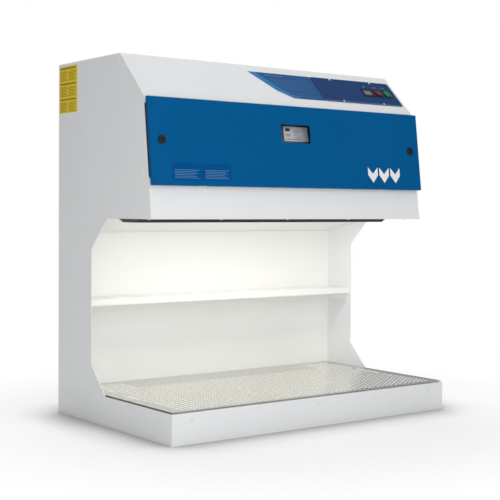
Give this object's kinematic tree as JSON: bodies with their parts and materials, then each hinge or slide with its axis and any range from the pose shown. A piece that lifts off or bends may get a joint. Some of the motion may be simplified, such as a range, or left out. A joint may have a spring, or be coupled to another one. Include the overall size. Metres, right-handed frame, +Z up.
{
  "type": "ductless downflow workstation",
  "caption": "Bench cabinet with an open mouth over a perforated work surface, a shelf, a head with a fold-down filter door, a tilted filter and a fan.",
  "frame": {"origin": "centre of the footprint at bench level", "axes": "+Z up, -Y is the open front, +X to the right seen from the front"},
  "size_m": [1.225, 0.775, 1.2785],
  "materials": {
    "cabinet_paint": "light grey textured powder coat",
    "liner_paint": "warm white semi-gloss powder coat",
    "tray_steel": "perforated stainless sheet",
    "zinc_steel": "zinc-plated sheet",
    "door_paint": "blue satin powder coat",
    "panel_film": "dark blue printed film",
    "overlay_film": "blue printed film",
    "black_plastic": "black moulded plastic",
    "red_plastic": "red translucent rocker",
    "green_plastic": "green translucent rocker",
    "screen": "grey display screen",
    "window_pane": "clear pane",
    "gasket_foam": "black foam gasket",
    "screw_steel": "plated screw heads",
    "filter_steel": "dark coated filter case",
    "filter_media": "carbon media",
    "prefilter_media": "white fibre pad",
    "label_plate": "silver label plate",
    "lamp_lens": "opal lens",
    "fan_aluminium": "cast and pressed aluminium"
  },
  "bodies": {
    "cabinet": {"side_panel_left": "cabinet_paint", "side_panel_right": "cabinet_paint", "base_front": "cabinet_paint", "head_front": "cabinet_paint", "hood_panel": "cabinet_paint", "top_cover": "cabinet_paint", "rear_panel": "cabinet_paint", "back_wall": "liner_paint", "ceiling_panel": "liner_paint", "shelf": "liner_paint", "work_surface": "tray_steel", "base_pan": "zinc_steel", "tray_rail_left": "zinc_steel", "tray_rail_right": "zinc_steel", "filter_rail_left": "zinc_steel", "filter_rail_right": "zinc_steel", "filter_front_ledge": "zinc_steel", "filter_rear_ledge": "zinc_steel", "filter_brace": "zinc_steel", "fan_deck": "zinc_steel", "inlet_ring": "zinc_steel", "fan_bracket": "zinc_steel", "electrics_box": "zinc_steel", "hinge_lugs": "zinc_steel", "control_panel": "panel_film", "control_overlay": "overlay_film", "display_bezel": "black_plastic", "switch_body_red": "black_plastic", "switch_body_green": "black_plastic", "power_inlet": "black_plastic", "lamp_housing": "black_plastic", "display_screen": "screen", "side_screws": "screw_steel", "cabinet_screws": "screw_steel", "panel_screws": "screw_steel", "filter_case": "filter_steel", "filter_media": "filter_media", "prefilter": "prefilter_media", "filter_label": "label_plate", "lamp_diffuser": "lamp_lens", "light_strips": "lamp_lens", "fan_motor": "fan_aluminium"},
    "door": {"door_panel": "door_paint", "door_liner": "zinc_steel", "door_gasket": "gasket_foam", "door_window": "window_pane", "lock_housings": "black_plastic", "hinge_ears": "zinc_steel", "hinge_pins": "zinc_steel"},
    "lock_left": {"lock_plug_left": "zinc_steel"},
    "lock_right": {"lock_plug_right": "zinc_steel"},
    "fan_rotor": {"impeller": "fan_aluminium"},
    "red_rocker": {"rocker_red": "red_plastic"},
    "green_rocker": {"rocker_green": "green_plastic"}
  },
  "joints": [
    {"name": "door_hinge", "type": "hinge", "parent": "cabinet", "child": "door", "pos_m": [0, -0.25202, 0.83448], "axis": [1, 0, 0], "range_deg": [0, 100]},
    {"name": "lock_left_turn", "type": "hinge", "parent": "door", "child": "lock_left", "pos_m": [-0.564, -0.22385, 0.97613], "axis": [0, 0.9928, -0.1198], "range_deg": [0, 90]},
    {"name": "lock_right_turn", "type": "hinge", "parent": "door", "child": "lock_right", "pos_m": [0.564, -0.22385, 0.97613], "axis": [0, -0.9928, 0.1198], "range_deg": [0, 90]},
    {"name": "fan_spin", "type": "hinge", "parent": "cabinet", "child": "fan_rotor", "pos_m": [0, 0.10828, 1.04518], "axis": [0, 0.1994, 0.9799], "continuous": true},
    {"name": "red_rocker_tip", "type": "hinge", "parent": "cabinet", "child": "red_rocker", "pos_m": [0.506, -0.12596, 1.20377], "axis": [1, 0, 0], "range_deg": [0, 18]},
    {"name": "green_rocker_tip", "type": "hinge", "parent": "cabinet", "child": "green_rocker", "pos_m": [0.5525, -0.12596, 1.20377], "axis": [1, 0, 0], "range_deg": [0, 18]}
  ]
}
